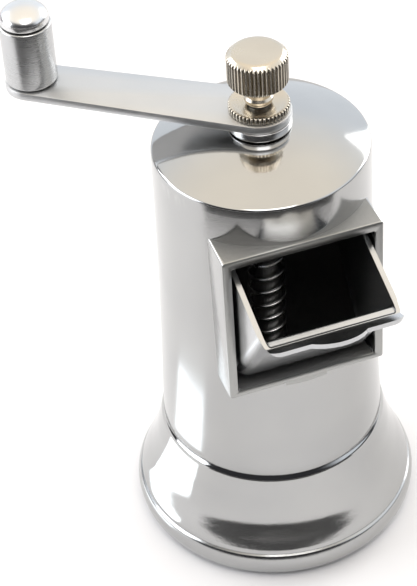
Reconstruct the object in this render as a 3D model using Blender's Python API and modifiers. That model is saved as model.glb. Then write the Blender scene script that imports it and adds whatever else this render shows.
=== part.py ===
"""A hand-cranked pepper and salt mill: cast body with a tilting filling chute, crank, shaft, spring and burrs.

Metres, +Z up. The foot stands on Z = 0, the chute faces -Y, and the origin is at the middle of the bounding
box's base. Sizes below are in millimetres, and MM turns them into metres.
"""

import math

import bmesh
import bpy
from mathutils import Matrix

MM = 0.001

# Body: a tapered cylinder with a domed top, on a bell-shaped foot
RIM_R, RIM_Z = 20.4, 90.3
DOME_R = 53.6
STEP_R, STEP_Z = 22.3, 24.0
FOOT_R, FOOT_Z = 28.95, 4.5
DOME_WALL = 2.2
CORE_TOP_R, CORE_LOW_R = 18.0, 18.3
SEAT_R, SEAT_Z = 21.6, 21.0
HOLLOW_R = 25.0
BODY_STEPS = 72

# Frame of the chute, on the body's front
FRAME_DEPTH = 21.35
FRAME_HALF, FRAME_LOW, FRAME_TOP = 15.6, 48.6, 82.3
MOUTH_HALF, MOUTH_LOW, MOUTH_TOP = 13.85, 50.1, 80.4
MOUTH_BACK = 10.0

# Chute: section measured from its pivot, in the closed position
PIVOT_DEPTH, PIVOT_Z = 18.0, 54.5
CHUTE_OPEN_DEG = 35.0
CHUTE_HALF, CHUTE_WALL = 13.4, 1.0
CURL_R = 3.0
PANEL_H = 23.2
LIP_LENGTH, LIP_DEG = 4.6, 50.0
CHEEK_R, CHEEK_TOP_DEG, CHEEK_LOW_DEG = 26.1, 136.3, 165.0
LIP_CORNER_R = 2.8
TAB_HALF, TAB_RISE = 5.3, 2.7
CHUTE_PIN_R, CHUTE_PIN_IN, CHUTE_PIN_OUT = 0.9, 12.0, 14.8

# Shaft, bush, crank and nuts
SHAFT_R, THREAD_R, SQUARE = 2.85, 2.0, 3.9
SHAFT_LOW, SHAFT_TOP = 4.4, 108.4
BUSH_FLANGE_R, BUSH_R, BUSH_LOW = 6.0, 4.4, 86.4
BUSH_FLANGE_Z = 94.4
ARM_Z, ARM_THICK = 96.15, 1.65
ARM_HUB_R, ARM_END_R, ARM_LENGTH, ARM_DEG = 6.05, 5.1, 44.0, 144.4
KNURLS, KNURL_DEPTH = 45, 0.42
LOW_NUT_R, LOW_NUT_Z, LOW_NUT_H = 5.7, 98.0, 1.4
NUT_R, NUT_Z, NUT_TOP = 5.62, 103.8, 110.4
COLLAR_R, COLLAR_Z = 2.7, 99.7
NUT_CHAMFER = 0.9

# Knob
SLEEVE_R, SLEEVE_Z, SLEEVE_TOP = 4.9, 98.1, 110.5
RIVET_R, RIVET_HEAD_R, RIVET_TOP, TAIL_R = 1.4, 4.6, 114.2, 1.9

# Spring and its seats
COIL_R, WIRE_R, PITCH = 3.5, 0.4, 3.45
SPRING_LOW, SPRING_TOP = 38.3, 85.0
CROSS_PIN_R, CROSS_PIN_Z, CROSS_PIN_HALF = 0.85, 36.0, 4.7

# Grinding parts
RING_TOP, RING_LOW, FLANGE_LOW = 18.9, 9.2, 15.9
RING_R, FLANGE_R = 18.3, 21.3
BRIDGE_LOW, BRIDGE_TOP = 19.2, 20.7
SCREW_CIRCLE, SCREW_R, SCREW_HEAD_R = 20.0, 0.8, 1.35
ROTOR_LOW, ROTOR_MID, ROTOR_TOP = 8.7, 13.0, 16.4

# The arm's end and the foot reach furthest in X, the finger tab and the arm's end in Y
OPEN = math.radians(CHUTE_OPEN_DEG)
LIP_REACH = (
    PIVOT_DEPTH + CURL_R * math.cos(OPEN) + PANEL_H * math.sin(OPEN)
    + (LIP_LENGTH + TAB_RISE) * math.cos(math.radians(LIP_DEG) - OPEN)
)
KNOB_X = ARM_LENGTH * math.cos(math.radians(ARM_DEG))
KNOB_Y = ARM_LENGTH * math.sin(math.radians(ARM_DEG))
AXIS_X = -(FOOT_R + KNOB_X - ARM_END_R) / 2
AXIS_Y = (LIP_REACH - KNOB_Y - ARM_END_R) / 2


def clear_scene():
    for obj in list(bpy.data.objects):
        bpy.data.objects.remove(obj, do_unlink=True)


def new_collection(name):
    made = bpy.data.collections.new(name)
    bpy.context.scene.collection.children.link(made)
    return made


def metal(name, colour, roughness, metallic=1.0):
    made = bpy.data.materials.new(name)
    made.use_nodes = True
    shader = made.node_tree.nodes["Principled BSDF"]
    shader.inputs["Base Color"].default_value = (*colour, 1.0)
    shader.inputs["Roughness"].default_value = roughness
    shader.inputs["Metallic"].default_value = metallic
    return made


def empty(name, place, parent=None, turn=(0.0, 0.0, 0.0)):
    made = bpy.data.objects.new(name, None)
    parts.objects.link(made)
    made.location = [value * MM for value in place]
    made.rotation_euler = turn
    made.parent = parent
    return made


def place_object(name, mesh, parent, material=None):
    """A part when it has a material, else a cutter or a guide."""
    made = bpy.data.objects.new(name, mesh)
    made.parent = parent
    if material is None:
        cutters.objects.link(made)
        made.hide_render = True
        made.display_type = "WIRE"
        return made
    parts.objects.link(made)
    mesh.materials.append(material)
    mesh.shade_smooth()
    mesh.set_sharp_from_angle(angle=math.radians(35))
    return made


def turned(name, profile, parent, material=None, steps=32, ring=False):
    """A profile of (radius, z) points, running down the outer side, turned about Z."""
    mesh = bpy.data.meshes.new(name)
    points = [(radius * MM, 0.0, z * MM) for radius, z in profile]
    edges = [(i, i + 1) for i in range(len(points) - 1)]
    if ring:
        edges.append((len(points) - 1, 0))
    mesh.from_pydata(points, edges, [])
    made = place_object(name, mesh, parent, material)
    screw = made.modifiers.new("turn", "SCREW")
    screw.steps = screw.render_steps = steps
    screw.use_merge_vertices = True
    screw.merge_threshold = 0.00001
    screw.use_smooth_shade = True
    return made


def rod(name, radius, low, top, parent, material=None, segments=24):
    """A plain cylinder along Z."""
    shape = bmesh.new()
    bmesh.ops.create_cone(
        shape, cap_ends=True, segments=segments, radius1=radius * MM, radius2=radius * MM,
        depth=(top - low) * MM, matrix=Matrix.Translation((0, 0, (low + top) / 2 * MM)),
    )
    return from_bmesh(name, shape, parent, material)


def block(name, low, high, parent, material=None):
    """A box between two corners."""
    size = [(b - a) * MM for a, b in zip(low, high)]
    middle = [(a + b) / 2 * MM for a, b in zip(low, high)]
    shape = bmesh.new()
    bmesh.ops.create_cube(
        shape, size=1.0, matrix=Matrix.Translation(middle) @ Matrix.Diagonal((*size, 1.0))
    )
    return from_bmesh(name, shape, parent, material)


def toothed_cone(name, teeth, depth, low, high, parent, material=None):
    """A cone between (radius, z) low and high whose rim is cut into straight teeth of the given depth."""
    (low_r, low_z), (high_r, high_z) = low, high
    shape = bmesh.new()
    bmesh.ops.create_cone(
        shape, cap_ends=True, segments=2 * teeth, radius1=low_r * MM, radius2=high_r * MM,
        depth=(high_z - low_z) * MM, matrix=Matrix.Translation((0, 0, (low_z + high_z) / 2 * MM)),
    )
    for vertex in shape.verts:
        step = round(math.atan2(vertex.co.y, vertex.co.x) / (math.pi / teeth))
        if step % 2:
            radius = math.hypot(vertex.co.x, vertex.co.y)
            vertex.co.x *= 1 - depth * MM / radius
            vertex.co.y *= 1 - depth * MM / radius
    return from_bmesh(name, shape, parent, material)


def from_bmesh(name, shape, parent, material):
    mesh = bpy.data.meshes.new(name)
    shape.to_mesh(mesh)
    shape.free()
    return place_object(name, mesh, parent, material)


def plate(name, outline, thickness, parent, material=None, matrix=None):
    """A flat outline in XY, given thickness, then placed by the matrix."""
    curve = bpy.data.curves.new(name + "_outline", "CURVE")
    curve.dimensions = "2D"
    curve.fill_mode = "BOTH"
    curve.extrude = thickness / 2 * MM
    spline = curve.splines.new("POLY")
    spline.points.add(len(outline) - 1)
    for point, (x, y) in zip(spline.points, outline):
        point.co = (x * MM, y * MM, 0.0, 1.0)
    spline.use_cyclic_u = True
    guide = bpy.data.objects.new(name + "_outline", curve)
    cutters.objects.link(guide)
    mesh = bpy.data.meshes.new_from_object(guide.evaluated_get(bpy.context.evaluated_depsgraph_get()))
    bpy.data.objects.remove(guide, do_unlink=True)
    mesh.name = name
    shape = bmesh.new()
    shape.from_mesh(mesh)
    bmesh.ops.remove_doubles(shape, verts=shape.verts, dist=0.000001)
    bmesh.ops.recalc_face_normals(shape, faces=shape.faces)
    shape.to_mesh(mesh)
    shape.free()
    if matrix is not None:
        mesh.transform(matrix)
    return place_object(name, mesh, parent, material)


def join(part, other, operation="UNION"):
    """A live Boolean of part with a cutter or guide."""
    made = part.modifiers.new(operation.lower(), "BOOLEAN")
    made.operation = operation
    made.object = other
    return part


def cut(part, *others):
    for other in others:
        join(part, other, "DIFFERENCE")
    return part


def arc(centre, radius, start_deg, end_deg, count):
    """Points along an arc, both ends included."""
    angles = [math.radians(start_deg + (end_deg - start_deg) * i / count) for i in range(count + 1)]
    return [(centre[0] + radius * math.cos(a), centre[1] + radius * math.sin(a)) for a in angles]


def ribbon(path, width):
    """The outline of a strip of even width: the path, then its parallel on the left, run back."""
    inner = []
    for i, point in enumerate(path):
        before, after = path[max(i - 1, 0)], path[min(i + 1, len(path) - 1)]
        normals = []
        for a, b in ((before, point), (point, after)):
            length = math.dist(a, b)
            if length:
                normals.append((-(b[1] - a[1]) / length, (b[0] - a[0]) / length))
        x = sum(n[0] for n in normals) / len(normals)
        y = sum(n[1] for n in normals) / len(normals)
        scale = width / (x * x + y * y)
        inner.append((point[0] + x * scale, point[1] + y * scale))
    return path + inner[::-1]


def dome_z(radius):
    return RIM_Z + math.sqrt(DOME_R**2 - radius**2) - math.sqrt(DOME_R**2 - RIM_R**2)


def bell_profile():
    """The foot's outside from under the step to the groove above its rim."""
    return [
        (22.75, 23.2), (23.25, 21.0), (23.75, 19.0), (24.25, 17.0), (24.85, 15.0),
        (25.55, 13.0), (26.4, 11.0), (27.25, 9.0), (28.05, 7.3),
    ]


def foot_rim_profile():
    """The foot's satin rim, from the groove above it down to the base."""
    return [(28.0, 6.8), (28.4, 6.5), (28.8, 5.6), (FOOT_R, FOOT_Z), (28.7, 3.0), (28.0, 1.5), (27.1, 0.5), (26.4, 0.0)]


def chute_side(name, outline, x_middle, thickness, parent, material=None):
    """A plate in a plane across X: outline points are (depth towards -Y, z) from the pivot."""
    turn = Matrix(((0, 0, -1, x_middle * MM), (-1, 0, 0, 0), (0, 1, 0, 0), (0, 0, 0, 1)))
    return plate(name, outline, thickness, parent, material, turn)


def make_body():
    dome = [(r, dome_z(r)) for r in (0.0, 5.0, 9.0, 13.0, 16.5, 19.2)]
    rim = [(20.0, dome_z(20.0) - 0.05), (20.3, RIM_Z - 0.25), (RIM_R, RIM_Z - 0.7)]
    step = [(STEP_R, STEP_Z), (21.95, 23.75), (22.0, 23.5), (22.5, 23.35)]
    outside = dome + rim + step + bell_profile() + foot_rim_profile() + [(0.0, 0.0)]
    body = turned("mill_body", outside, mill_axis, cast, BODY_STEPS)

    frame = block(
        "frame_block", (-FRAME_HALF, -FRAME_DEPTH, FRAME_LOW), (FRAME_HALF, 0, FRAME_TOP), mill_axis
    )
    join(body, frame)

    bush_hole = BUSH_R + 0.2
    ceiling = [(0.0, 99.0), (bush_hole, 99.0)]
    ceiling += [(r, dome_z(r) - DOME_WALL) for r in (bush_hole, 8.0, 12.0, 16.0)]
    core = ceiling + [
        (CORE_TOP_R - 0.3, 87.6), (CORE_TOP_R, 86.6), (CORE_LOW_R, SEAT_Z), (SEAT_R, SEAT_Z), (SEAT_R, 12.0),
        (24.4, 7.5), (HOLLOW_R, 4.0), (HOLLOW_R, -1.0), (0.0, -1.0),
    ]
    cut(body, turned("core", core, mill_axis, steps=BODY_STEPS))
    mouth = block(
        "mouth", (-MOUTH_HALF, -FRAME_DEPTH - 1, MOUTH_LOW), (MOUTH_HALF, -MOUTH_BACK, MOUTH_TOP), mill_axis
    )
    cut(body, mouth)
    for side in (-1, 1):
        socket = rod("pin_socket", CHUTE_PIN_R + 0.2, 0, 2.5, chute_pivot)
        socket.location.x = side * 12.5 * MM
        socket.rotation_euler.y = side * math.pi / 2
        cut(body, socket)
    for number in range(3):
        cut(body, screw_hole(number))
    return body


def screw_turn(number):
    return math.radians(90 + 120 * number)


def screw_hole(number):
    hole = rod("screw_hole", SCREW_R + 0.2, FLANGE_LOW - 5, 26.5, mill_axis, segments=16)
    place_on_circle(hole, number)
    return hole


def place_on_circle(obj, number):
    obj.location.x = SCREW_CIRCLE * MM * math.cos(screw_turn(number))
    obj.location.y = SCREW_CIRCLE * MM * math.sin(screw_turn(number))


def make_bush():
    profile = [
        (3.1, 96.0), (BUSH_FLANGE_R - 0.3, 96.0), (BUSH_FLANGE_R, 95.7), (BUSH_FLANGE_R, BUSH_FLANGE_Z),
        (BUSH_R, BUSH_FLANGE_Z), (BUSH_R, BUSH_LOW), (3.1, BUSH_LOW),
    ]
    turned("shaft_bush", profile, mill_axis, bright_steel, 32, ring=True)


def make_shaft():
    half = SQUARE / 2
    shaft = rod("drive_shaft", SHAFT_R, 16.7, 95.3, mill_axis, steel, segments=32)
    join(shaft, block("top_square", (-half, -half, 94), (half, half, 97.3), crank_axis))
    join(shaft, rod("top_thread", THREAD_R, 94.5, SHAFT_TOP, mill_axis))
    join(shaft, block("low_square", (-half, -half, 8.6), (half, half, 18), crank_axis))
    join(shaft, rod("low_thread", THREAD_R, SHAFT_LOW, 17.5, mill_axis))
    hole = rod("cross_hole", CROSS_PIN_R + 0.2, -6, 6, mill_axis, segments=16)
    hole.location.z = CROSS_PIN_Z * MM
    hole.rotation_euler.y = math.pi / 2
    cut(shaft, hole)

    pin = rod("spring_cross_pin", CROSS_PIN_R, -CROSS_PIN_HALF, CROSS_PIN_HALF, mill_axis, steel, segments=16)
    pin.location.z = CROSS_PIN_Z * MM
    pin.rotation_euler.y = math.pi / 2


def make_crank():
    slope = math.degrees(math.asin((ARM_HUB_R - ARM_END_R) / ARM_LENGTH))
    outline = arc((0, 0), ARM_HUB_R, 90 - slope, 270 + slope, 16)
    outline += arc((ARM_LENGTH, 0), ARM_END_R, -90 + slope, 90 - slope, 16)
    lift = Matrix.Translation((0, 0, (ARM_Z + ARM_THICK / 2) * MM))
    arm = plate("crank_arm", outline, ARM_THICK, crank_axis, cast, lift)
    half = SQUARE / 2 + 0.15
    cut(arm, block("arm_square", (-half, -half, 95), (half, half, 99), crank_axis))
    cut(arm, rod("rivet_hole", RIVET_R + 0.15, 95, 99, knob_axis))


def make_knob():
    top = SLEEVE_TOP
    sleeve = [
        (RIVET_R + 0.2, top), (SLEEVE_R - 0.3, top), (SLEEVE_R, top - 0.3), (SLEEVE_R, SLEEVE_Z + 0.3),
        (SLEEVE_R - 0.3, SLEEVE_Z), (RIVET_R + 0.2, SLEEVE_Z),
    ]
    turned("knob_sleeve", sleeve, knob_axis, satin, 40, ring=True)
    rise = RIVET_TOP - top - 1.1
    head = [(RIVET_HEAD_R * math.sin(a), top + 1.1 + rise * math.cos(a)) for a in [math.pi / 12 * i for i in range(7)]]
    rivet = head + [
        (RIVET_HEAD_R, top + 0.5), (RIVET_HEAD_R - 0.2, top + 0.3), (RIVET_R, top + 0.3), (RIVET_R, 95.9),
        (TAIL_R, 95.9), (TAIL_R, 95.4), (TAIL_R - 0.7, 94.9), (0.0, 94.9),
    ]
    turned("knob_pin", rivet, knob_axis, bright_steel, 40)


def make_nuts():
    low = toothed_cone(
        "adjusting_nut", KNURLS, KNURL_DEPTH, (LOW_NUT_R, LOW_NUT_Z), (LOW_NUT_R, LOW_NUT_Z + LOW_NUT_H),
        mill_axis, nickel,
    )
    top = LOW_NUT_Z + LOW_NUT_H
    dish = [(0.0, top + 1), (4.9, top + 1), (4.9, top), (2.9, top - 0.35), (0.0, top - 0.35)]
    cut(low, turned("dish", dish, mill_axis), rod("nut_bore", THREAD_R + 0.2, 90, 102, mill_axis))

    nut = toothed_cone("thumb_nut", KNURLS, KNURL_DEPTH, (NUT_R, NUT_Z), (NUT_R, NUT_TOP), mill_axis, nickel)
    edge = NUT_CHAMFER
    envelope = [
        (0.0, NUT_TOP), (NUT_R - edge, NUT_TOP), (NUT_R + 0.1, NUT_TOP - edge), (NUT_R + 0.1, NUT_Z + edge),
        (NUT_R - edge, NUT_Z), (0.0, NUT_Z),
    ]
    join(nut, turned("nut_envelope", envelope, mill_axis, steps=48), "INTERSECT")
    collar = [
        (0.0, NUT_Z + 2), (COLLAR_R - 0.35, NUT_Z + 2), (COLLAR_R - 0.35, 101.0), (COLLAR_R, 100.7),
        (COLLAR_R, 100.2), (COLLAR_R - 0.2, COLLAR_Z), (0.0, COLLAR_Z),
    ]
    join(nut, turned("nut_collar", collar, mill_axis))
    cut(nut, rod("nut_blind_bore", THREAD_R + 0.2, 98, 109.2, mill_axis))


def make_spring():
    curve = bpy.data.curves.new("spring", "CURVE")
    curve.dimensions = "3D"
    curve.bevel_depth = WIRE_R * MM
    curve.bevel_resolution = 2
    curve.use_fill_caps = True
    closed = 2.2 * WIRE_R
    length = SPRING_TOP - SPRING_LOW - 2 * WIRE_R
    working = (length - 2 * closed) / PITCH
    turns = working + 2
    count = round(turns * 12)
    spline = curve.splines.new("POLY")
    spline.points.add(count)
    for i, point in enumerate(spline.points):
        t = turns * i / count
        z = closed * min(t, 1) + PITCH * max(0, min(t - 1, working)) + closed * max(0, t - 1 - working)
        a = 2 * math.pi * t
        point.co = (COIL_R * MM * math.cos(a), COIL_R * MM * math.sin(a), (SPRING_LOW + WIRE_R + z) * MM, 1.0)
    made = bpy.data.objects.new("spring", curve)
    made.parent = mill_axis
    curve.materials.append(spring_wire)
    parts.objects.link(made)


def make_washer(name, low, thick, outer, inner):
    profile = [(inner, low + thick), (outer, low + thick), (outer, low), (inner, low)]
    turned(name, profile, mill_axis, steel, 32, ring=True)


def make_chute():
    lip_x, lip_y = math.cos(math.radians(LIP_DEG)), math.sin(math.radians(LIP_DEG))
    bend = (CURL_R, PANEL_H)
    tip = (bend[0] + LIP_LENGTH * lip_x, bend[1] + LIP_LENGTH * lip_y)
    start = (tip[0] - LIP_CORNER_R * lip_x, tip[1] - LIP_CORNER_R * lip_y)
    floor = arc((0, 0), CURL_R, -140, 0, 8) + [bend, start]
    tray = chute_side("chute_tray", ribbon(floor, CHUTE_WALL), 0, 2 * CHUTE_HALF, chute_pivot, cast)

    top = (start[0] - 0.2 * lip_x - CHUTE_WALL * lip_y, start[1] - 0.2 * lip_y + CHUTE_WALL * lip_x)
    cheek = floor[:-1] + [(start[0] - 0.2 * lip_x, start[1] - 0.2 * lip_y), top]
    cheek += arc((0, 0), CHEEK_R, CHEEK_TOP_DEG, CHEEK_LOW_DEG, 5)
    for side in (-1, 1):
        middle = side * (CHUTE_HALF - CHUTE_WALL / 2)
        join(tray, chute_side("cheek", cheek, middle, CHUTE_WALL, chute_pivot))

    # the lip's end, with rounded corners and a half-moon finger tab
    radius = (TAB_HALF**2 + TAB_RISE**2) / (2 * TAB_RISE)
    spread = math.degrees(math.asin(TAB_HALF / radius))
    corner = CHUTE_HALF - 0.02 - LIP_CORNER_R
    end = [(CHUTE_HALF - 0.02, -LIP_CORNER_R - 1.0)]
    end += arc((corner, -LIP_CORNER_R), LIP_CORNER_R, 0, 90, 6)
    end += arc((0, TAB_RISE - radius), radius, 90 - spread, 90 + spread, 12)
    end += arc((-corner, -LIP_CORNER_R), LIP_CORNER_R, 90, 180, 6)
    end += [(-CHUTE_HALF + 0.02, -LIP_CORNER_R - 1.0)]
    lift = CHUTE_WALL / 2
    across = Matrix((
        (1, 0, 0, 0),
        (0, -lip_x, -lip_y, -(tip[0] - lift * lip_y) * MM),
        (0, lip_y, -lip_x, (tip[1] + lift * lip_x) * MM),
        (0, 0, 0, 1),
    ))
    join(tray, plate("lip_end", end, CHUTE_WALL - 0.04, chute_pivot, None, across))
    hole = rod("tray_pin_hole", CHUTE_PIN_R + 0.15, -20, 20, chute_pivot, segments=20)
    hole.rotation_euler.y = math.pi / 2
    cut(tray, hole)

    for side, name in ((-1, "chute_pin_left"), (1, "chute_pin_right")):
        pin = rod(name, CHUTE_PIN_R, CHUTE_PIN_IN, CHUTE_PIN_OUT, chute_pivot, steel, segments=20)
        pin.rotation_euler.y = side * math.pi / 2


def make_burrs():
    profile = [
        (17.0, RING_TOP), (FLANGE_R, RING_TOP), (FLANGE_R, FLANGE_LOW), (RING_R, FLANGE_LOW),
        (RING_R, RING_LOW), (15.2, RING_LOW), (12.9, ROTOR_MID), (13.4, 14.2),
    ]
    ring = turned("burr_ring", profile, mill_axis, steel, 48, ring=True)
    teeth = toothed_cone("ring_teeth", 30, 0.7, (15.9, RING_LOW - 1), (13.0, ROTOR_MID + 0.8), mill_axis)
    cut(ring, teeth)

    lower = toothed_cone("burr_rotor", 30, 0.6, (14.1, ROTOR_LOW), (11.6, ROTOR_MID), mill_axis, steel)
    upper = toothed_cone("rotor_breaker", 8, 2.2, (11.0, ROTOR_MID - 0.5), (6.6, ROTOR_TOP), mill_axis)
    join(lower, upper)
    half = SQUARE / 2 + 0.15
    cut(lower, block("rotor_square", (-half, -half, 5), (half, half, 20), crank_axis))

    rim = [(18.6, BRIDGE_TOP), (FLANGE_R, BRIDGE_TOP), (FLANGE_R, BRIDGE_LOW), (18.6, BRIDGE_LOW)]
    bridge = turned("bearing_bridge", rim, mill_axis, steel, 48, ring=True)
    for number in range(3):
        spoke = block("spoke", (1, -1.8, BRIDGE_LOW + 0.1), (19.5, 1.8, BRIDGE_TOP - 0.1), mill_axis)
        spoke.rotation_euler.z = screw_turn(number)
        join(bridge, spoke)
    join(bridge, rod("bridge_hub", 4.8, 17.6, 24.5, mill_axis, segments=32))
    cut(bridge, rod("bridge_bore", SHAFT_R + 0.2, 10, 30, mill_axis, segments=32))

    for number in range(3):
        cut(ring, screw_hole(number))
        cut(bridge, screw_hole(number))
        head = [
            (0.0, 25.5), (SCREW_R, 25.5), (SCREW_R, FLANGE_LOW - 0.3), (SCREW_HEAD_R, FLANGE_LOW - 0.3),
            (SCREW_HEAD_R, FLANGE_LOW - 1.1), (SCREW_HEAD_R - 0.5, FLANGE_LOW - 1.5), (0.0, FLANGE_LOW - 1.5),
        ]
        screw = turned(f"ring_screw_{number + 1}", head, mill_axis, steel, 16)
        place_on_circle(screw, number)


def make_rotor_nut():
    make_washer("rotor_washer", 7.6, 0.8, 4.5, THREAD_R + 0.2)
    nut = rod("rotor_nut", 4.04, 4.9, 7.3, mill_axis, steel, segments=6)
    cut(nut, rod("rotor_nut_bore", THREAD_R + 0.2, 0, 10, mill_axis))


clear_scene()
parts = new_collection("pepper_mill")
cutters = new_collection("cutters")

cast = metal("cast_aluminium", (0.78, 0.78, 0.77), 0.22)
satin = metal("satin_aluminium", (0.72, 0.73, 0.73), 0.35)
bright_steel = metal("bright_steel", (0.70, 0.70, 0.69), 0.2)
steel = metal("steel", (0.50, 0.50, 0.51), 0.35)
nickel = metal("nickel_plate", (0.74, 0.70, 0.63), 0.28)
spring_wire = metal("spring_wire", (0.62, 0.61, 0.59), 0.25)

mill_axis = empty("mill_axis", (AXIS_X, AXIS_Y, 0))
crank_axis = empty("crank_axis", (0, 0, 0), mill_axis, (0, 0, math.radians(ARM_DEG)))
knob_axis = empty("knob_axis", (ARM_LENGTH, 0, 0), crank_axis)
chute_pivot = empty(
    "chute_pivot", (0, -PIVOT_DEPTH, PIVOT_Z), mill_axis, (OPEN, 0, 0)
)

make_body()
make_bush()
make_shaft()
make_crank()
make_knob()
make_nuts()
make_spring()
make_washer("spring_washer_bottom", 37.2, 0.8, 5.0, SHAFT_R + 0.2)
make_washer("spring_washer_top", 85.3, 0.8, 5.0, SHAFT_R + 0.2)
make_chute()
make_burrs()
make_rotor_nut()
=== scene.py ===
import math

import bmesh
import bpy
import numpy as np
from mathutils import Matrix, Vector


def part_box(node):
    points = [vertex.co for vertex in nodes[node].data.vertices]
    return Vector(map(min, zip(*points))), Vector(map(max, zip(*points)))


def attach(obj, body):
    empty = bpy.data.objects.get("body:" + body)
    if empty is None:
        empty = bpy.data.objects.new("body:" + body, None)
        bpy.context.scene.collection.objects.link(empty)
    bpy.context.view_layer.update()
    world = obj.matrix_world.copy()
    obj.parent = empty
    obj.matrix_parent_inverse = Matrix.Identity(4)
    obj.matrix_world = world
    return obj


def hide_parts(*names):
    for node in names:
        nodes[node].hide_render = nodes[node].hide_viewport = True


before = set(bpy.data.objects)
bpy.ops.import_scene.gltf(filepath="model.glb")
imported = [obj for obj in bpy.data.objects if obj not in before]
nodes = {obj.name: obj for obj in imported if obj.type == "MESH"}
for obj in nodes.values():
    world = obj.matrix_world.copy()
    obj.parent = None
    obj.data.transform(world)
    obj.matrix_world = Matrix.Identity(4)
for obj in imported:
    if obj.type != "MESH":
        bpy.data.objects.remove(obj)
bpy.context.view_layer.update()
print("frame loaded")

mm = 0.001


def middle(node):
    low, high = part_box(node)
    return [(a + b) / 2 / mm for a, b in zip(low, high)]


# where the turning lines are, in millimetres, read from the CAD
axisX, axisY, _ = middle("thumb_nut")
knobX, knobY, _ = middle("knob_sleeve")
_, pivotY, pivotZ = middle("chute_pin_left")
armAngle = math.atan2(knobY - axisY, knobX - axisX)
armLength = math.hypot(knobX - axisX, knobY - axisY)
onAxis = Matrix.Translation((axisX * mm, axisY * mm, 0))
onKnob = Matrix.Translation((knobX * mm, knobY * mm, 0))
onArm = onAxis @ Matrix.Rotation(armAngle, 4, "Z")


def link(name, mesh, body, slot, *materials):
    made = bpy.data.objects.new(name, mesh)
    bpy.context.scene.collection.objects.link(made)
    for material in materials:
        mesh.materials.append(material)
    if body:
        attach(made, body)
    return made


def meshFrom(name, shape, place=None, sharp=32):
    bmesh.ops.recalc_face_normals(shape, faces=shape.faces)
    mesh = bpy.data.meshes.new(name)
    shape.to_mesh(mesh)
    shape.free()
    mesh.transform(Matrix.Scale(mm, 4))
    if place is not None:
        mesh.transform(place)
    mesh.shade_smooth()
    mesh.set_sharp_from_angle(angle=math.radians(sharp))
    return mesh


def fillet(points, steps=4):
    # rounds each (r, z, radius) corner of an open line
    out = []
    for i, point in enumerate(points):
        radius = point[2] if len(point) > 2 else 0
        here = Vector(point[:2])
        if not radius or i in (0, len(points) - 1):
            out.append(tuple(here))
            continue
        a = (Vector(points[i - 1][:2]) - here)
        b = (Vector(points[i + 1][:2]) - here)
        half = a.angle(b) / 2
        reach = min(radius / math.tan(half), a.length * 0.49, b.length * 0.49)
        start, end = here + a.normalized() * reach, here + b.normalized() * reach
        for k in range(steps + 1):
            t = k / steps
            out.append(tuple(start * (1 - t) ** 2 + here * 2 * t * (1 - t) + end * t**2))
    return out


def spline(points, count):
    # a smooth line through the points, count steps between each pair
    pts = [Vector(p) for p in points]
    pts = [pts[0] * 2 - pts[1]] + pts + [pts[-1] * 2 - pts[-2]]
    out = []
    for i in range(1, len(pts) - 2):
        p0, p1, p2, p3 = pts[i - 1 : i + 3]
        for k in range(count):
            t = k / count
            out.append(tuple(0.5 * (
                2 * p1 + (p2 - p0) * t + (2 * p0 - 5 * p1 + 4 * p2 - p3) * t * t
                + (3 * p1 - p0 - 3 * p2 + p3) * t**3
            )))
    out.append(tuple(pts[-2]))
    return out


def split(a, b, count):
    return [(a[0] + (b[0] - a[0]) * k / count, a[1] + (b[1] - a[1]) * k / count) for k in range(count)]


def turnShape(profile, steps, ring=False, radiusAt=None):
    # a line of (r, z) turned about the axis. radiusAt(r, z, angle) may change each radius
    shape = bmesh.new()
    rows = []
    for r, z in profile:
        if r < 1e-6:
            rows.append([shape.verts.new((0, 0, z))])
            continue
        row = []
        for k in range(steps):
            a = 2 * math.pi * k / steps
            rr = radiusAt(r, z, a) if radiusAt else r
            row.append(shape.verts.new((rr * math.cos(a), rr * math.sin(a), z)))
        rows.append(row)
    pairs = list(zip(rows, rows[1:])) + ([(rows[-1], rows[0])] if ring else [])
    for a, b in pairs:
        for k in range(steps):
            j = (k + 1) % steps
            quad = [a[k % len(a)], a[j % len(a)], b[j % len(b)], b[k % len(b)]]
            quad = list(dict.fromkeys(quad))
            if len(quad) > 2:
                shape.faces.new(quad)
    return shape


def loftShape(loops):
    # closed loops of 3-D points joined in order, with both ends capped
    shape = bmesh.new()
    rows = [[shape.verts.new(p) for p in loop] for loop in loops]
    for a, b in zip(rows, rows[1:]):
        for k in range(len(a)):
            j = (k + 1) % len(a)
            shape.faces.new([a[k], a[j], b[j], b[k]])
    shape.faces.new(rows[0][::-1])
    shape.faces.new(rows[-1])
    return shape


def roundRect(halfX, low, high, radius, steps=5):
    # points (x, z) round a rectangle with rounded corners
    out = []
    for cx, cz, start in (
        (halfX - radius, high - radius, 0), (-halfX + radius, high - radius, 90),
        (-halfX + radius, low + radius, 180), (halfX - radius, low + radius, 270),
    ):
        for k in range(steps + 1):
            a = math.radians(start + 90 * k / steps)
            out.append((cx + radius * math.cos(a), cz + radius * math.sin(a)))
    return out


def boolean(target, other, operation):
    # applies a Boolean to the target's mesh, and removes the other object
    made = target.modifiers.new(operation, "BOOLEAN")
    made.operation = operation
    made.solver = "EXACT"
    made.object = other
    graph = bpy.context.evaluated_depsgraph_get()
    mesh = bpy.data.meshes.new_from_object(target.evaluated_get(graph))
    target.modifiers.clear()
    old = target.data
    target.data = mesh
    bpy.data.meshes.remove(old)
    bpy.data.objects.remove(other, do_unlink=True)


def helper(shape, place=None):
    # an unshaded object for a Boolean
    return link("helper", meshFrom("helper", shape, place), None, None)


def cylinderShape(radius, low, high, steps=48):
    return turnShape([(0, high), (radius, high), (radius, low), (0, low)], steps)


def smooth(obj, sharp=32):
    obj.data.shade_smooth()
    obj.data.set_sharp_from_angle(angle=math.radians(sharp))


def newMaterial(name):
    made = bpy.data.materials.new(name)
    made.use_nodes = True
    return made, made.node_tree, made.node_tree.nodes["Principled BSDF"]


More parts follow.
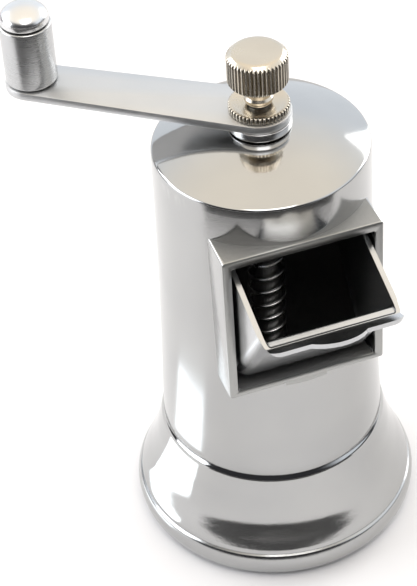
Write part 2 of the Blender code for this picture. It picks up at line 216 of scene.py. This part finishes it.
def metal(name, look):
    # metal with soft mottling, fine grain along one direction, and light wear
    material, tree, shader = newMaterial(name)
    add = tree.nodes.new
    join = tree.links.new
    place = add("ShaderNodeTexCoord")

    mapping = add("ShaderNodeMapping")
    mapping.inputs["Scale"].default_value = look["grainStretch"]
    join(place.outputs["Object"], mapping.inputs["Vector"])
    grain = add("ShaderNodeTexNoise")
    grain.inputs["Scale"].default_value = look["grainScale"]
    grain.inputs["Detail"].default_value = 5
    grain.inputs["Roughness"].default_value = 0.6
    join(mapping.outputs["Vector"], grain.inputs["Vector"])

    mottle = add("ShaderNodeTexNoise")
    mottle.inputs["Scale"].default_value = look["mottleScale"]
    mottle.inputs["Detail"].default_value = 4
    join(place.outputs["Object"], mottle.inputs["Vector"])

    tint = add("ShaderNodeMix")
    tint.data_type = "RGBA"
    tint.inputs["A"].default_value = (*look["dark"], 1)
    tint.inputs["B"].default_value = (*look["light"], 1)
    join(mottle.outputs["Fac"], tint.inputs["Factor"])
    join(tint.outputs["Result"], shader.inputs["Base Color"])

    rough = add("ShaderNodeMapRange")
    rough.inputs["From Min"].default_value = 0.3
    rough.inputs["From Max"].default_value = 0.7
    rough.inputs["To Min"].default_value = look["roughness"][0]
    rough.inputs["To Max"].default_value = look["roughness"][1]
    both = add("ShaderNodeMath")
    both.operation = "ADD"
    half = add("ShaderNodeMath")
    half.operation = "MULTIPLY"
    half.inputs[1].default_value = 0.5
    join(grain.outputs["Fac"], both.inputs[0])
    join(mottle.outputs["Fac"], both.inputs[1])
    join(both.outputs["Value"], half.inputs[0])
    join(half.outputs["Value"], rough.inputs["Value"])
    join(rough.outputs["Result"], shader.inputs["Roughness"])

    bump = add("ShaderNodeBump")
    bump.inputs["Strength"].default_value = look["bump"]
    bump.inputs["Distance"].default_value = look["bumpHeight"]
    join(grain.outputs["Fac"], bump.inputs["Height"])
    if look.get("wave"):
        swell = add("ShaderNodeTexNoise")
        swell.inputs["Scale"].default_value = look["waveScale"]
        swell.inputs["Detail"].default_value = 1
        join(place.outputs["Object"], swell.inputs["Vector"])
        slow = add("ShaderNodeBump")
        slow.inputs["Strength"].default_value = look["wave"]
        slow.inputs["Distance"].default_value = 0.001
        join(swell.outputs["Fac"], slow.inputs["Height"])
        join(slow.outputs["Normal"], bump.inputs["Normal"])
    join(bump.outputs["Normal"], shader.inputs["Normal"])
    shader.inputs["Metallic"].default_value = 1.0
    return material


castLook = {
    "dark": (0.39, 0.395, 0.40), "light": (0.49, 0.49, 0.48), "roughness": (0.13, 0.22),
    "grainStretch": (1, 1, 1), "grainScale": 1600, "mottleScale": 60,
    "bump": 0.06, "bumpHeight": 0.0001, "wave": 0.05, "waveScale": 90,
}
satinLook = {
    "dark": (0.36, 0.365, 0.36), "light": (0.48, 0.48, 0.465), "roughness": (0.3, 0.42),
    "grainStretch": (0.12, 1, 1.6), "grainScale": 2600, "mottleScale": 120,
    "bump": 0.18, "bumpHeight": 0.0001,
}
armLook = {
    "dark": (0.50, 0.51, 0.52), "light": (0.58, 0.58, 0.58), "roughness": (0.34, 0.46),
    "grainStretch": (1, 1, 1), "grainScale": 2600, "mottleScale": 100,
    "bump": 0.12, "bumpHeight": 0.0001,
}
turnedLook = {
    "dark": (0.44, 0.45, 0.455), "light": (0.53, 0.53, 0.53), "roughness": (0.22, 0.34),
    "grainStretch": (0.08, 0.08, 3.0), "grainScale": 1800, "mottleScale": 90,
    "bump": 0.12, "bumpHeight": 0.0001,
}
nickelLook = {
    "dark": (0.50, 0.455, 0.385), "light": (0.58, 0.53, 0.45), "roughness": (0.18, 0.3),
    "grainStretch": (1, 1, 1), "grainScale": 2200, "mottleScale": 140,
    "bump": 0.08, "bumpHeight": 0.0001,
}
steelLook = {
    "dark": (0.34, 0.34, 0.34), "light": (0.46, 0.46, 0.45), "roughness": (0.28, 0.42),
    "grainStretch": (0.2, 0.2, 2.0), "grainScale": 2000, "mottleScale": 150,
    "bump": 0.1, "bumpHeight": 0.0001,
}
insideLook = {
    "dark": (0.26, 0.26, 0.26), "light": (0.36, 0.36, 0.35), "roughness": (0.45, 0.6),
    "grainStretch": (1, 1, 1), "grainScale": 1500, "mottleScale": 100,
    "bump": 0.3, "bumpHeight": 0.0002,
}
castMetal = metal("polished cast metal", castLook)
buffedMetal = metal("mirror-buffed cast metal", {**castLook, "roughness": (0.05, 0.11)})
trayMetal = metal("tumbled cast metal", {
    **castLook, "dark": (0.5, 0.51, 0.525), "light": (0.6, 0.605, 0.61), "roughness": (0.16, 0.28),
})
groundMetal = metal("ground cast metal", satinLook)
insideMetal = metal("raw cast metal", insideLook)
armMetal = metal("tumbled metal", armLook)
turnedMetal = metal("turned metal", turnedLook)
nickelMetal = metal("nickel plate", nickelLook)
steelMetal = metal("machined steel", steelLook)
brightMetal = metal("bright steel", {**nickelLook, "dark": (0.6, 0.6, 0.6), "light": (0.7, 0.7, 0.7)})
print("materials made")


bodyValues = {
    "rimRadius": 20.4, "rimHeight": 90.3, "domeRadius": 53.6, "stepRadius": 22.3, "stepHeight": 24.0,
    "frameDepth": 21.35, "frameHalf": 15.6, "frameLow": 48.6, "frameTop": 82.3,
    "mouthHalf": 13.85, "mouthLow": 50.1, "mouthTop": 80.4, "hole": 4.6, "waist": 0.32, "steps": 320,
    "hopper": 19.3, "pinRadius": 1.1, "pinDeep": 2.5, "pinAt": 12.5,
}


def domeHeight(r):
    v = bodyValues
    square = v["domeRadius"] ** 2
    return v["rimHeight"] + math.sqrt(square - r * r) - math.sqrt(square - v["rimRadius"] ** 2)


def bodyProfile():
    # the section of the body, from the hole in the dome down the outside and back up the inside
    v = bodyValues
    hole = v["hole"]
    dome = [(r, domeHeight(r)) for r in np.linspace(hole + 0.2, 19.0, 22)]
    corner = fillet([(19.0, domeHeight(19.0)), (v["rimRadius"], v["rimHeight"], 0.8), (20.45, 88.5)], 6)[1:]
    wall = split((20.45, 88.5), (v["stepRadius"], v["stepHeight"] + 0.15), 30)
    wall = [(r - v["waist"] * math.sin(math.pi * k / 30), z) for k, (r, z) in enumerate(wall)]
    step = [(v["stepRadius"], 24.15), (22.24, 24.0), (22.16, 23.9), (22.22, 23.78)]
    step += [(22.42, 23.56), (22.6, 23.32)]
    bell = spline([
        (22.78, 23.0), (23.25, 21.0), (23.75, 19.0), (24.25, 17.0), (24.85, 15.0), (25.55, 13.0),
        (26.4, 11.0), (27.2, 9.2), (27.85, 7.7),
    ], 5)
    groove = [(28.0, 7.3), (28.02, 7.0), (28.0, 6.85)]
    rim = spline([
        (28.15, 6.72), (28.45, 6.4), (28.82, 5.5), (28.95, 4.5), (28.75, 3.0), (28.1, 1.5), (27.2, 0.5),
    ], 4)
    under = [(26.4, 0.02), (26.0, 0.0), (25.3, 0.0), (25.0, 0.25)]
    hollow = [(25.0, 4.0), (24.4, 7.5), (21.6, 12.0), (21.6, 21.0), (18.3, 21.0), (18.0, 86.6), (17.7, 87.6)]
    ceiling = [(r, domeHeight(r) - 2.2) for r in (16.0, 12.0, 8.0, hole)]
    ceiling += [(hole, domeHeight(hole) - 0.2)]
    return dome + corner + wall + step + bell + groove + rim + under + hollow + ceiling


def alongDepth(rect, depth):
    return [(x, -depth, z) for x, z in rect]


def makeBody():
    v = bodyValues
    mesh = meshFrom("body", turnShape(bodyProfile(), v["steps"], ring=True), onAxis)
    body = link("castBody", mesh, None, None, castMetal, groundMetal, insideMetal, buffedMetal)

    # the rectangular frame round the opening
    rings = []
    for depth, inset in ((0, 0), (20.95, 0), (21.2, 0.06), (21.31, 0.2), (v["frameDepth"], 0.4)):
        rect = roundRect(v["frameHalf"] - inset, v["frameLow"] + inset, v["frameTop"] - inset, 0.5)
        rings.append(alongDepth(rect, depth))
    block = helper(loftShape(rings), onAxis)
    boolean(block, helper(cylinderShape(v["hopper"], 40, 90, 96), onAxis), "DIFFERENCE")
    boolean(body, block, "UNION")

    # the opening itself, and a blind hole in each side for the chute's pins
    rings = []
    for depth, grow in ((10, 0), (21.0, 0), (21.25, 0.1), (v["frameDepth"], 0.25), (23, 0.25)):
        rect = roundRect(v["mouthHalf"] + grow, v["mouthLow"] - grow, v["mouthTop"] + grow, 0.45)
        rings.append(alongDepth(rect, depth))
    boolean(body, helper(loftShape(rings), onAxis), "DIFFERENCE")
    for side in (-1, 1):
        socket = cylinderShape(v["pinRadius"], 0, v["pinDeep"], 24)
        place = Matrix.Translation(((axisX + side * v["pinAt"]) * mm, pivotY * mm, pivotZ * mm))
        boolean(body, helper(socket, place @ Matrix.Rotation(side * math.pi / 2, 4, "Y")), "DIFFERENCE")

    # ground faces on the frame, raw metal inside
    for face in body.data.polygons:
        centre = face.center / mm
        x, y, z = centre.x - axisX, centre.y - axisY, centre.z
        r = math.hypot(x, y)
        if -y > 20.9 and v["frameLow"] - 1 < z < v["frameTop"] + 1 and abs(x) < 16:
            face.material_index = 1
        elif r < 19.2 and z < 90 or (z < 25 and face.normal.x * x + face.normal.y * y < 0 and z > 0.1):
            face.material_index = 2
        elif 6.9 < z < 23.9 or r < 20.3 and z > 90:
            face.material_index = 3
        else:
            face.material_index = 0
    smooth(body)
    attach(body, "body")
    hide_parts("mill_body")
    print("body made")


makeBody()


# the tray, in millimetres and degrees about its pivot. panel is the straight length below the fold
chuteValues = {
    "half": 13.4, "wall": 1.0, "curl": 3.0, "panel": 23.2, "lip": 4.6, "lipDegrees": 50.0,
    "cheek": 26.1, "cheekTop": 136.3, "cheekLow": 165.0, "open": 35.0, "corner": 2.6,
    "ledge": 1.3, "ledgeDegrees": 29.0, "insideCorner": 0.7, "lipCorner": 2.8,
    "endDegrees": 32.0, "tabHalf": 5.3, "tabRise": 2.46,
}


def arc(centre, radius, start, end, count):
    out = []
    for k in range(count + 1):
        a = math.radians(start + (end - start) * k / count)
        out.append((centre[0] + radius * math.cos(a), centre[1] + radius * math.sin(a)))
    return out


def lipLine():
    # the lip seen from the side: its fold, the end of the level ledge, its tip and its direction
    v = chuteValues
    ledge, chord = math.radians(v["ledgeDegrees"]), math.radians(v["lipDegrees"])
    fold = Vector((v["curl"], v["panel"]))
    step = fold + Vector((math.cos(ledge), math.sin(ledge))) * v["ledge"]
    tip = fold + Vector((math.cos(chord), math.sin(chord))) * v["lip"]
    return fold, step, tip, (tip - step).normalized()


def trayPath(offset, lipEnd):
    # the tray's floor line, from behind the pivot to the lip, moved inwards by the offset
    v = chuteValues
    fold, step, tip, along = lipLine()
    ways = [Vector((0, 1)), (step - fold).normalized(), along]
    lefts = [Vector((-w[1], w[0])) for w in ways]
    fold = fold + (lefts[0] + lefts[1]) * offset / (1 + lefts[0].dot(lefts[1]))
    step = step + (lefts[1] + lefts[2]) * offset / (1 + lefts[1].dot(lefts[2]))
    tip = tip + lefts[2] * offset + along * lipEnd
    radius = v["curl"] - offset
    panel = [(radius, 8.0), (radius, 16.0), (*fold, 0.5 + offset * 0.4), (*step, 0.9), tuple(tip)]
    return arc((0, 0), radius, -140, 0, 18) + fillet(panel, 5)


def trayBlock(wall, half, corner, end, rest, steps=7):
    # everything above the tray's floor, as wide as the tray, with the two long lower edges rounded
    across = [(0.0, 0.0)]
    for k in range(1, steps + 1):
        a = math.pi / 2 * k / steps
        across.append((corner * (1 - math.cos(a)), corner * math.sin(a)))
    sections = [(-half + reach, corner - rise) for reach, rise in across]
    sections += [(-x, inset) for x, inset in reversed(sections)]
    return loftShape([[(x, -d, z) for d, z in trayPath(wall + inset, end) + rest] for x, inset in sections])


def makeChute():
    v = chuteValues
    place = Matrix.Translation((axisX * mm, pivotY * mm, pivotZ * mm))
    place = place @ Matrix.Rotation(math.radians(v["open"]), 4, "X")
    _, _, tip, along = lipLine()
    above = Vector((-along[1], along[0]))
    rise = v["tabRise"] + 1.0

    # a tall scoop with rounded lower edges, hollowed, then trimmed to its outline
    rest = [(14.0, 46.0), (-36.0, 44.0), (-42.0, 12.0)]
    outer = trayBlock(0, v["half"], v["corner"], rise, rest)
    tray = link("chute", meshFrom("chute", outer, place), None, None, trayMetal)
    rest = [(20.0, 52.0), (-40.0, 50.0), (-46.0, 2.0), (-3.2, -2.7)]
    hollow = trayBlock(v["wall"], v["half"] - v["wall"], v["insideCorner"], rise + 3, rest)
    boolean(tray, helper(hollow, place), "DIFFERENCE")

    # side outline: a straight rim from under the frame to the lip, and an arc about the pivot behind
    rimEnd = tip - along * v["lipCorner"] + above * (v["wall"] + 0.02)
    cheekTop = Vector(arc((0, 0), v["cheek"], v["cheekTop"], v["cheekLow"], 2)[0])
    back = rimEnd + (cheekTop - rimEnd).normalized() * 1.6
    side = arc((0, 0), v["curl"] + 0.6, -140, 0, 12) + [(v["curl"] + 0.6, v["panel"] - 0.4)]
    side += [tuple(tip + along * rise - above * 0.6), tuple(tip + along * rise + above * (v["wall"] + 0.02))]
    side += fillet([tuple(tip), (*rimEnd, 1.6), tuple(back)], 6)[1:]
    side += arc((0, 0), v["cheek"], v["cheekTop"], v["cheekLow"], 16)
    loops = [[(x, -d, z) for d, z in side] for x in (-20, 20)]
    boolean(tray, helper(loftShape(loops), place), "INTERSECT")

    # plan outline, seen square to the lip: rounded front corners and the half-moon finger tab
    radius = (v["tabHalf"] ** 2 + v["tabRise"] ** 2) / (2 * v["tabRise"])
    spread = math.degrees(math.asin(v["tabHalf"] / radius))
    corner = v["half"] + 0.01 - v["lipCorner"]
    plan = [(v["half"] + 0.01, -60)]
    plan += arc((corner, -v["lipCorner"]), v["lipCorner"], 0, 90, 14)
    plan += arc((0, v["tabRise"] - radius), radius, 90 - spread, 90 + spread, 32)
    plan += arc((-corner, -v["lipCorner"]), v["lipCorner"], 90, 180, 14)
    plan += [(-v["half"] - 0.01, -60)]
    end = math.radians(v["endDegrees"])
    lipX, lipZ = math.cos(end), math.sin(end)
    loops = []
    for lift in (-30, 40):
        startX, startZ = tip[0] - lift * lipZ, tip[1] + lift * lipX
        loops.append([(x, -(startX + k * lipX), startZ + k * lipZ) for x, k in plan])
    boolean(tray, helper(loftShape(loops), place), "INTERSECT")
    hole = cylinderShape(1.05, -20, 20, 24)
    boolean(tray, helper(hole, place @ Matrix.Rotation(math.pi / 2, 4, "Y")), "DIFFERENCE")
    smooth(tray, 28)
    edge = tray.modifiers.new("soft edges", "BEVEL")
    edge.width = 0.00026
    edge.segments = 3
    edge.limit_method = "ANGLE"
    edge.angle_limit = math.radians(50)
    edge.harden_normals = True
    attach(tray, "chute")
    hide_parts("chute_tray")
    print("chute made")


makeChute()


def turnedPiece(name, profile, steps, place, body, slot, material, node, ring=False, radiusAt=None, sharp=32):
    mesh = meshFrom(name, turnShape(profile, steps, ring, radiusAt), place, sharp)
    made = link(name, mesh, body, slot, material)
    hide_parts(node)
    return made


# the arm: half width at each end, the softened edge, and its two faces
armValues = {"hub": 6.05, "end": 5.1, "edge": 0.28, "low": 96.15, "high": 97.8}


def makeArm():
    v = armValues
    slope = math.degrees(math.asin((v["hub"] - v["end"]) / armLength))
    loops = []
    edge = v["edge"]
    for z, inset in (
        (v["low"], edge), (v["low"] + edge * 0.3, edge * 0.3), (v["low"] + edge, 0),
        (v["high"] - edge, 0), (v["high"] - edge * 0.3, edge * 0.3), (v["high"], edge),
    ):
        loop = arc((0, 0), v["hub"] - inset, 90 - slope, 270 + slope, 48)
        loop += arc((armLength, 0), v["end"] - inset, -90 + slope, 90 - slope, 48)
        loops.append([(x, y, z) for x, y in loop])
    arm = link("crankArm", meshFrom("crankArm", loftShape(loops), onArm), None, None, armMetal)
    square = loftShape([[(-2.1, -2.1, z), (2.1, -2.1, z), (2.1, 2.1, z), (-2.1, 2.1, z)] for z in (90, 100)])
    boolean(arm, helper(square, onArm), "DIFFERENCE")
    boolean(arm, helper(cylinderShape(1.55, 90, 100), onKnob), "DIFFERENCE")
    smooth(arm)
    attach(arm, "crank")
    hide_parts("crank_arm")


knobValues = {
    "sleeve": 4.9, "sleeveLow": 98.1, "sleeveTop": 110.5, "bore": 1.6, "edge": 0.45,
    "head": 4.6, "headLow": 110.8, "headEdge": 111.5, "dome": 2.65, "stem": 1.4, "peen": 1.9, "steps": 128,
}


def makeKnob():
    v = knobValues
    sleeve = fillet([
        (v["bore"], v["sleeveTop"]), (v["sleeve"], v["sleeveTop"], v["edge"]),
        (v["sleeve"], v["sleeveLow"], v["edge"]), (v["bore"], v["sleeveLow"]),
    ], 6)
    turnedPiece(
        "knobSleeve", sleeve, v["steps"], onKnob, "knob", "satin_aluminium", turnedMetal, "knob_sleeve",
        ring=True,
    )
    quarter = np.linspace(0, math.pi / 2, 22)
    pin = [(v["head"] * math.sin(a), v["headEdge"] + 0.05 + v["dome"] * math.cos(a)) for a in quarter]
    pin += fillet([
        (v["head"], v["headEdge"]), (v["head"], v["headLow"], 0.35), (v["stem"], v["headLow"]),
        (v["stem"], 95.9), (v["peen"], 95.9, 0.1), (v["peen"], 95.3, 0.4), (1.0, 94.9), (0, 94.9),
    ], 5)
    turnedPiece("knobRivet", pin, v["steps"], onKnob, "crank", "bright_steel", brightMetal, "knob_pin")


knurlValues = {"teeth": 45, "depth": 0.42, "crest": 0.34}
nutValues = {"lowRim": 5.7, "lowFoot": 98.0, "topRim": 5.62, "topHead": 110.4, "topFoot": 103.8, "bore": 2.2}


def knurled(outer, low, high):
    # radius at each point of a straight-knurled rim
    v = knurlValues

    def radiusAt(r, z, angle):
        if not low <= z <= high or r < outer - 1.2:
            return r
        t = (angle / (2 * math.pi) * v["teeth"]) % 1
        t = abs(t - 0.5) * 2
        groove = max(0, (t - v["crest"]) / (1 - v["crest"]))
        return min(r, outer - v["depth"] * groove)

    return radiusAt


def makeNuts():
    v = nutValues
    steps = knurlValues["teeth"] * 8
    rim, foot, bore = v["lowRim"], v["lowFoot"], v["bore"]
    low = [(bore, 99.05), (2.9, 99.05), (4.6, 99.3), (4.95, 99.4), (5.45, 99.4), (5.6, 99.32), (rim, 99.2)]
    low += [(rim, foot + 0.2), (5.55, foot + 0.02), (5.4, foot), (bore, foot)]
    turnedPiece(
        "adjustingNut", low, steps, onAxis, "low_nut", "nickel_plate", nickelMetal, "adjusting_nut",
        ring=True, radiusAt=knurled(rim, 97, 100),
    )
    rim, head, foot = v["topRim"], v["topHead"], v["topFoot"]
    top = [(0, head), (2.0, head), (4.0, head), (4.5, 110.38), (4.66, 110.32)]
    top += split((4.75, 110.28), (5.56, 109.55), 6)  # chamfer round the flat top
    top += split((rim, 109.45), (rim, 104.45), 6)
    top += split((5.6, 104.35), (5.1, 103.86), 4)
    top += [(4.9, foot), (2.9, foot), (2.5, 103.65), (2.35, 103.3)]
    top += [(2.35, 101.1), (2.55, 100.85), (2.7, 100.65), (2.7, 100.25), (2.5, 99.95), (2.5, 99.7)]  # collar
    top += [(bore, 99.7), (bore, 109.2), (0, 109.2)]
    turnedPiece(
        "thumbNut", top, steps, onAxis, "top_nut", "nickel_plate", nickelMetal, "thumb_nut",
        radiusAt=knurled(rim, 103.82, 110.3),
    )


bushValues = {"bore": 3.1, "flange": 6.0, "stem": 4.4, "top": 96.0, "shoulder": 94.4, "foot": 86.4, "steps": 128}


def makeBush():
    v = bushValues
    flange = fillet([
        (v["bore"], v["foot"]), (v["bore"], v["top"]), (v["flange"], v["top"], 0.25),
        (v["flange"], v["shoulder"], 0.2), (v["stem"], v["shoulder"]), (v["stem"], v["foot"], 0.3),
        (v["bore"], v["foot"]),
    ], 4)[:-1]
    turnedPiece(
        "shaftBush", flange, v["steps"], onAxis, "body", "bright_steel", brightMetal, "shaft_bush", ring=True,
    )


makeArm()
makeKnob()
makeNuts()
makeBush()
print("crank, knob, nuts and bush made")


springValues = {"coil": 3.5, "wire": 0.4, "pitch": 3.45, "low": 38.3, "high": 84.6}


def makeSpring():
    v = springValues
    closed = 2.2 * v["wire"]
    working = (v["high"] - v["low"] - 2 * v["wire"] - 2 * closed) / v["pitch"]
    turns = working + 2
    count = round(turns * 32)
    curve = bpy.data.curves.new("spring", "CURVE")
    curve.dimensions = "3D"
    curve.bevel_depth = v["wire"] * mm
    curve.bevel_resolution = 4
    curve.use_fill_caps = True
    line = curve.splines.new("POLY")
    line.points.add(count)
    for k, point in enumerate(line.points):
        t = turns * k / count
        z = closed * min(t, 1) + v["pitch"] * max(0, min(t - 1, working)) + closed * max(0, t - 1 - working)
        a = 2 * math.pi * t
        point.co = (
            (axisX + v["coil"] * math.cos(a)) * mm, (axisY + v["coil"] * math.sin(a)) * mm,
            (v["low"] + v["wire"] + z) * mm, 1,
        )
    line.use_smooth = True
    made = link("springCoil", curve, "shaft", "spring_wire", brightMetal)
    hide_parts("spring")


makeSpring()
print("spring made")

# these nodes keep their CAD shape and take the steel look
for name in (
    "drive_shaft", "spring_cross_pin", "spring_washer_bottom", "spring_washer_top", "chute_pin_left",
    "chute_pin_right", "burr_ring", "burr_rotor", "bearing_bridge", "ring_screw_1", "ring_screw_2",
    "ring_screw_3", "rotor_washer", "rotor_nut",
):
    nodes[name].data.materials.clear()
    nodes[name].data.materials.append(steelMetal)
print("carried-over nodes finished")


# each card: colour, glow, inner and outer radius, then where it starts and ends in degrees from the front
stageValues = {
    "floor": 2000, "floorColour": (0.74, 0.74, 0.76), "front": -108.9,
    "darkCard": ((0.03, 0.03, 0.032), 0, 128, 900, -58, 70),
    "brightCard": ((0.9, 0.95, 1.0), 1.6, 44, 66, -98, -64),
}


def makeStage():
    v = stageValues
    shape = bmesh.new()
    bmesh.ops.create_grid(shape, x_segments=1, y_segments=1, size=v["floor"])
    floor = link("floor", meshFrom("floor", shape), None, None)
    material, tree, shader = newMaterial("pale floor")
    shader.inputs["Base Color"].default_value = (*v["floorColour"], 1)
    shader.inputs["Roughness"].default_value = 0.8
    floor.data.materials.append(material)

    # two cards lying on the floor, there only for the metal to reflect
    for name in ("darkCard", "brightCard"):
        makeCard(name, *v[name])


def makeCard(name, colour, glow, near, far, start, end):
    # part of a flat ring round the object, which only reflections see
    shape = bmesh.new()
    count = 24
    front = stageValues["front"]
    rows = []
    for radius in (near, far):
        line = arc((0, 0), radius, start + front, end + front, count)
        rows.append([shape.verts.new((x, y, 0.3)) for x, y in line])
    for k in range(count):
        shape.faces.new([rows[0][k], rows[1][k], rows[1][k + 1], rows[0][k + 1]])
    made = link(name, meshFrom(name, shape, onAxis), None, None)
    material, tree, shader = newMaterial(name)
    shader.inputs["Base Color"].default_value = (*colour, 1)
    shader.inputs["Roughness"].default_value = 0.9
    shader.inputs["Emission Color"].default_value = (*colour, 1)
    shader.inputs["Emission Strength"].default_value = glow
    made.data.materials.append(material)
    made.visible_camera = made.visible_diffuse = made.visible_shadow = False


lightValues = {
    "toCamera": (-0.47, -0.88, 0.0), "horizon": (1.22, 1.28, 1.36), "zenith": (1.50, 1.38, 1.20),
    "dim": (0.05, 0.05, 0.055), "strength": 1.0,
    "dimToward": (0.20, 0.60), "dimBelow": (0.62, 0.80),
    "otherToward": (-0.65, -0.35), "otherBelow": (0.12, 0.22),
    "warmFrom": (0.35, 0.95),  # each pair is where a change starts and ends
}


def makeWorld():
    # a studio round the object: pale near the horizon, warmer overhead, dim behind the camera
    v = lightValues
    world = bpy.data.worlds.new("studio")
    bpy.context.scene.world = world
    world.use_nodes = True
    tree = world.node_tree
    add, join = tree.nodes.new, tree.links.new
    back = tree.nodes["Background"]
    place = add("ShaderNodeTexCoord")
    parts = add("ShaderNodeSeparateXYZ")
    join(place.outputs["Generated"], parts.inputs["Vector"])

    def ramp(source, ends, a=0.0, b=1.0):
        made = add("ShaderNodeMapRange")
        made.interpolation_type = "SMOOTHSTEP"
        for socket, value in (("From Min", ends[0]), ("From Max", ends[1]), ("To Min", a), ("To Max", b)):
            made.inputs[socket].default_value = value
        join(source, made.inputs["Value"])
        return made.outputs["Result"]

    def times(a, b):
        made = add("ShaderNodeMath")
        made.operation = "MULTIPLY"
        join(a, made.inputs[0])
        join(b, made.inputs[1])
        return made.outputs["Value"]

    toward = add("ShaderNodeVectorMath")
    toward.operation = "DOT_PRODUCT"
    toward.inputs[1].default_value = v["toCamera"]
    join(place.outputs["Generated"], toward.inputs[0])
    up = parts.outputs["Z"]
    facing = toward.outputs["Value"]
    dim = add("ShaderNodeMath")
    dim.operation = "MAXIMUM"
    join(times(ramp(facing, v["dimToward"]), ramp(up, v["dimBelow"], 1.0, 0.0)), dim.inputs[0])
    join(times(ramp(facing, v["otherToward"]), ramp(up, v["otherBelow"], 1.0, 0.0)), dim.inputs[1])

    sky = add("ShaderNodeMix")
    sky.data_type = "RGBA"
    sky.inputs["A"].default_value = (*v["horizon"], 1)
    sky.inputs["B"].default_value = (*v["zenith"], 1)
    join(ramp(up, v["warmFrom"]), sky.inputs["Factor"])
    mixed = add("ShaderNodeMix")
    mixed.data_type = "RGBA"
    mixed.inputs["B"].default_value = (*v["dim"], 1)
    join(sky.outputs["Result"], mixed.inputs["A"])
    join(dim.outputs["Value"], mixed.inputs["Factor"])
    join(mixed.outputs["Result"], back.inputs["Color"])
    back.inputs["Strength"].default_value = v["strength"]


# each softbox: place and size in millimetres, power in watts, colour
softboxes = {
    "left softbox": ((-620, 120, 260), 420, 2.2, (0.93, 0.96, 1)),
    "right softbox": ((620, 260, 300), 420, 2.0, (1, 0.99, 0.97)),
    "front softbox": ((-60, -460, 940), 560, 2.8, (0.98, 0.98, 1)),
    "back left softbox": ((-260, 250, 260), 180, 0.35, (1, 1, 1)),
}


def makeLights():
    for name, (at, size, power, colour) in softboxes.items():
        light = bpy.data.lights.new(name, "AREA")
        light.shape = "SQUARE"
        light.size = size * mm
        light.energy = power
        light.color = colour
        lamp = bpy.data.objects.new(name, light)
        lamp.location = [c * mm for c in at]
        aim = Vector((0, 0, 60)) - Vector(at)
        lamp.rotation_euler = aim.to_track_quat("-Z", "Y").to_euler()
        bpy.context.scene.collection.objects.link(lamp)


# place from the shaft's axis in millimetres, turns in degrees
cameraValues = {
    "lens": 124.7, "fromAxis": (-96.2, -281.1, 319.2), "pan": -16.665, "tilt": -41.81, "roll": 4.036,
}


def makeCamera():
    v = cameraValues
    camera = bpy.data.cameras.new("camera")
    camera.lens = v["lens"]
    camera.sensor_width = 36
    camera.clip_start = 0.01
    rig = bpy.data.objects.new("camera", camera)
    turn = Matrix.Identity(4)
    for degrees, axis in ((v["pan"], "Z"), (v["tilt"], "X"), (v["roll"], "Y"), (90, "X")):
        turn = turn @ Matrix.Rotation(math.radians(degrees), 4, axis)
    x, y, z = v["fromAxis"]
    rig.matrix_world = Matrix.Translation(((axisX + x) * mm, (axisY + y) * mm, z * mm)) @ turn
    bpy.context.scene.collection.objects.link(rig)
    bpy.context.scene.camera = rig


makeStage()
makeWorld()
makeLights()
makeCamera()
bpy.context.scene.view_settings.view_transform = "Standard"
print("stage, lights and camera made")
